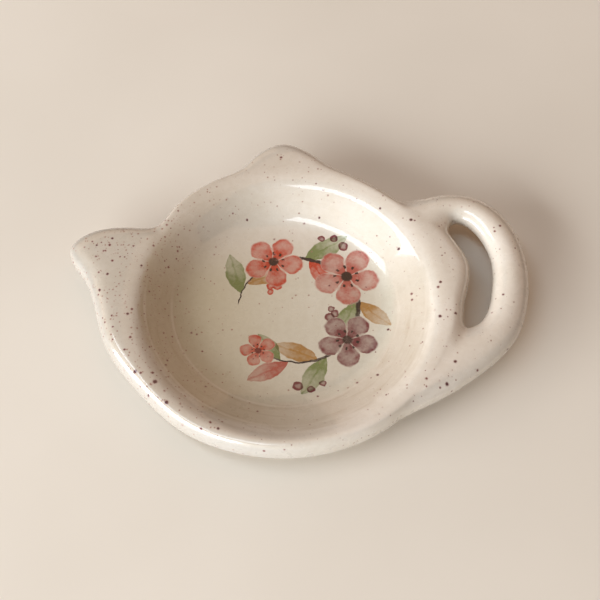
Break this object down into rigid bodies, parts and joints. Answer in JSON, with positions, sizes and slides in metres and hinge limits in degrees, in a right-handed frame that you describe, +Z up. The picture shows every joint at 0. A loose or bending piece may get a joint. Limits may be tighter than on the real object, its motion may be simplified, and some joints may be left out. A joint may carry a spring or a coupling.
{
  "type": "tea bag rest",
  "caption": "Small glazed stoneware dish in the outline of a teapot, with a round bowl that holds a used tea bag and a loop handle to lift it by.",
  "frame": {"origin": "centre of the foot ring, on the surface that the dish stands on", "axes": "+Z up; +X towards the handle; +Y towards the peak of the lid"},
  "size_m": [0.1193, 0.0926, 0.0113],
  "materials": {
    "glazed_clay": "gloss",
    "bare_clay": "matte"
  },
  "bodies": {
    "root": {"foot_ring": "bare_clay", "floor": "glazed_clay", "wall": "glazed_clay", "rim": "glazed_clay", "spout": "glazed_clay", "lid": "glazed_clay", "handle": "glazed_clay"}
  },
  "joints": []
}
